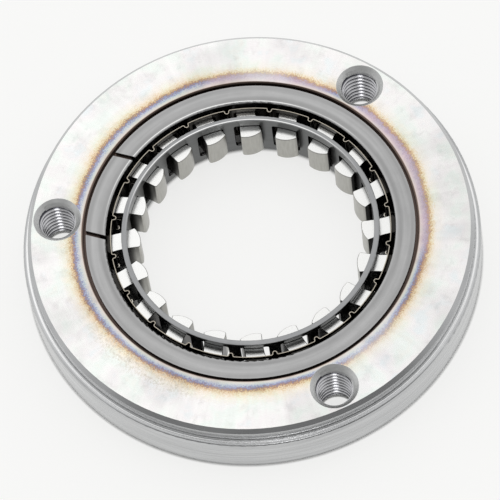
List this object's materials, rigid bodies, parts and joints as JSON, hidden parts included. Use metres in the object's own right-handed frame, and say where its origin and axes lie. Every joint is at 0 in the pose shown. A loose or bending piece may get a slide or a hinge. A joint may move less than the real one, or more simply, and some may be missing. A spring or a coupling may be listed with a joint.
{
  "type": "sprag clutch",
  "caption": "One-way sprag clutch: an outer-race ring with tapped holes carries a double-caged set of spring-loaded sprags that grip a hub in one direction.",
  "frame": {"origin": "centre of the housing's plain back face, on the clutch axis", "axes": "+Z along the clutch axis, out of the face that carries the cage flange; +X through one tapped hole"},
  "size_m": [0.089, 0.089, 0.0122],
  "materials": {
    "housing_steel": "ground and turned, heat tinted round the bore",
    "outer_cage_steel": "satin pressed steel",
    "inner_cage_steel": "satin pressed steel",
    "ribbon_steel": "bright spring strip",
    "sprag_steel": "polished"
  },
  "bodies": {
    "housing": {"housing": "housing_steel"},
    "outer_cage": {"outer_cage": "outer_cage_steel"},
    "inner_cage": {"inner_cage": "inner_cage_steel"},
    "ribbon_spring": {"ribbon_spring": "ribbon_steel"},
    "sprag_01": {"sprag_01": "sprag_steel"},
    "sprag_02": {"sprag_02": "sprag_steel"},
    "sprag_03": {"sprag_03": "sprag_steel"},
    "sprag_04": {"sprag_04": "sprag_steel"},
    "sprag_05": {"sprag_05": "sprag_steel"},
    "sprag_06": {"sprag_06": "sprag_steel"},
    "sprag_07": {"sprag_07": "sprag_steel"},
    "sprag_08": {"sprag_08": "sprag_steel"},
    "sprag_09": {"sprag_09": "sprag_steel"},
    "sprag_10": {"sprag_10": "sprag_steel"},
    "sprag_11": {"sprag_11": "sprag_steel"},
    "sprag_12": {"sprag_12": "sprag_steel"},
    "sprag_13": {"sprag_13": "sprag_steel"},
    "sprag_14": {"sprag_14": "sprag_steel"},
    "sprag_15": {"sprag_15": "sprag_steel"},
    "sprag_16": {"sprag_16": "sprag_steel"},
    "sprag_17": {"sprag_17": "sprag_steel"},
    "sprag_18": {"sprag_18": "sprag_steel"},
    "sprag_19": {"sprag_19": "sprag_steel"},
    "sprag_20": {"sprag_20": "sprag_steel"}
  },
  "joints": [
    {"name": "cage_spin", "type": "hinge", "parent": "housing", "child": "outer_cage", "pos_m": [0, 0, 0.006], "axis": [0, 0, 1], "continuous": true},
    {"name": "inner_cage_turn", "type": "hinge", "parent": "outer_cage", "child": "inner_cage", "pos_m": [0, 0, 0.006], "axis": [0, 0, 1], "range_deg": [0, 1.3], "stiffness_Nm_per_rad": 0.2},
    {"name": "ribbon_turn", "type": "hinge", "parent": "outer_cage", "child": "ribbon_spring", "pos_m": [0, 0, 0.006], "axis": [0, 0, 1], "range_deg": [0, 0.39]},
    {"name": "sprag_01_tilt", "type": "hinge", "parent": "outer_cage", "child": "sprag_01", "pos_m": [0.02835, 0, 0.00625], "axis": [0, 0, 1], "range_deg": [-7.8, 0]},
    {"name": "sprag_02_tilt", "type": "hinge", "parent": "outer_cage", "child": "sprag_02", "pos_m": [0.02696, 0.00876, 0.00625], "axis": [0, 0, 1], "range_deg": [-7.8, 0]},
    {"name": "sprag_03_tilt", "type": "hinge", "parent": "outer_cage", "child": "sprag_03", "pos_m": [0.02294, 0.01666, 0.00625], "axis": [0, 0, 1], "range_deg": [-7.8, 0]},
    {"name": "sprag_04_tilt", "type": "hinge", "parent": "outer_cage", "child": "sprag_04", "pos_m": [0.01666, 0.02294, 0.00625], "axis": [0, 0, 1], "range_deg": [-7.8, 0]},
    {"name": "sprag_05_tilt", "type": "hinge", "parent": "outer_cage", "child": "sprag_05", "pos_m": [0.00876, 0.02696, 0.00625], "axis": [0, 0, 1], "range_deg": [-7.8, 0]},
    {"name": "sprag_06_tilt", "type": "hinge", "parent": "outer_cage", "child": "sprag_06", "pos_m": [0, 0.02835, 0.00625], "axis": [0, 0, 1], "range_deg": [-7.8, 0]},
    {"name": "sprag_07_tilt", "type": "hinge", "parent": "outer_cage", "child": "sprag_07", "pos_m": [-0.00876, 0.02696, 0.00625], "axis": [0, 0, 1], "range_deg": [-7.8, 0]},
    {"name": "sprag_08_tilt", "type": "hinge", "parent": "outer_cage", "child": "sprag_08", "pos_m": [-0.01666, 0.02294, 0.00625], "axis": [0, 0, 1], "range_deg": [-7.8, 0]},
    {"name": "sprag_09_tilt", "type": "hinge", "parent": "outer_cage", "child": "sprag_09", "pos_m": [-0.02294, 0.01666, 0.00625], "axis": [0, 0, 1], "range_deg": [-7.8, 0]},
    {"name": "sprag_10_tilt", "type": "hinge", "parent": "outer_cage", "child": "sprag_10", "pos_m": [-0.02696, 0.00876, 0.00625], "axis": [0, 0, 1], "range_deg": [-7.8, 0]},
    {"name": "sprag_11_tilt", "type": "hinge", "parent": "outer_cage", "child": "sprag_11", "pos_m": [-0.02835, 0, 0.00625], "axis": [0, 0, 1], "range_deg": [-7.8, 0]},
    {"name": "sprag_12_tilt", "type": "hinge", "parent": "outer_cage", "child": "sprag_12", "pos_m": [-0.02696, -0.00876, 0.00625], "axis": [0, 0, 1], "range_deg": [-7.8, 0]},
    {"name": "sprag_13_tilt", "type": "hinge", "parent": "outer_cage", "child": "sprag_13", "pos_m": [-0.02294, -0.01666, 0.00625], "axis": [0, 0, 1], "range_deg": [-7.8, 0]},
    {"name": "sprag_14_tilt", "type": "hinge", "parent": "outer_cage", "child": "sprag_14", "pos_m": [-0.01666, -0.02294, 0.00625], "axis": [0, 0, 1], "range_deg": [-7.8, 0]},
    {"name": "sprag_15_tilt", "type": "hinge", "parent": "outer_cage", "child": "sprag_15", "pos_m": [-0.00876, -0.02696, 0.00625], "axis": [0, 0, 1], "range_deg": [-7.8, 0]},
    {"name": "sprag_16_tilt", "type": "hinge", "parent": "outer_cage", "child": "sprag_16", "pos_m": [0, -0.02835, 0.00625], "axis": [0, 0, 1], "range_deg": [-7.8, 0]},
    {"name": "sprag_17_tilt", "type": "hinge", "parent": "outer_cage", "child": "sprag_17", "pos_m": [0.00876, -0.02696, 0.00625], "axis": [0, 0, 1], "range_deg": [-7.8, 0]},
    {"name": "sprag_18_tilt", "type": "hinge", "parent": "outer_cage", "child": "sprag_18", "pos_m": [0.01666, -0.02294, 0.00625], "axis": [0, 0, 1], "range_deg": [-7.8, 0]},
    {"name": "sprag_19_tilt", "type": "hinge", "parent": "outer_cage", "child": "sprag_19", "pos_m": [0.02294, -0.01666, 0.00625], "axis": [0, 0, 1], "range_deg": [-7.8, 0]},
    {"name": "sprag_20_tilt", "type": "hinge", "parent": "outer_cage", "child": "sprag_20", "pos_m": [0.02696, -0.00876, 0.00625], "axis": [0, 0, 1], "range_deg": [-7.8, 0]}
  ],
  "couplings": [
    {"joint": "ribbon_turn", "follows": "inner_cage_turn", "ratio": 0.3},
    {"joint": "sprag_01_tilt", "follows": "inner_cage_turn", "ratio": -6},
    {"joint": "sprag_02_tilt", "follows": "inner_cage_turn", "ratio": -6},
    {"joint": "sprag_03_tilt", "follows": "inner_cage_turn", "ratio": -6},
    {"joint": "sprag_04_tilt", "follows": "inner_cage_turn", "ratio": -6},
    {"joint": "sprag_05_tilt", "follows": "inner_cage_turn", "ratio": -6},
    {"joint": "sprag_06_tilt", "follows": "inner_cage_turn", "ratio": -6},
    {"joint": "sprag_07_tilt", "follows": "inner_cage_turn", "ratio": -6},
    {"joint": "sprag_08_tilt", "follows": "inner_cage_turn", "ratio": -6},
    {"joint": "sprag_09_tilt", "follows": "inner_cage_turn", "ratio": -6},
    {"joint": "sprag_10_tilt", "follows": "inner_cage_turn", "ratio": -6},
    {"joint": "sprag_11_tilt", "follows": "inner_cage_turn", "ratio": -6},
    {"joint": "sprag_12_tilt", "follows": "inner_cage_turn", "ratio": -6},
    {"joint": "sprag_13_tilt", "follows": "inner_cage_turn", "ratio": -6},
    {"joint": "sprag_14_tilt", "follows": "inner_cage_turn", "ratio": -6},
    {"joint": "sprag_15_tilt", "follows": "inner_cage_turn", "ratio": -6},
    {"joint": "sprag_16_tilt", "follows": "inner_cage_turn", "ratio": -6},
    {"joint": "sprag_17_tilt", "follows": "inner_cage_turn", "ratio": -6},
    {"joint": "sprag_18_tilt", "follows": "inner_cage_turn", "ratio": -6},
    {"joint": "sprag_19_tilt", "follows": "inner_cage_turn", "ratio": -6},
    {"joint": "sprag_20_tilt", "follows": "inner_cage_turn", "ratio": -6}
  ]
}
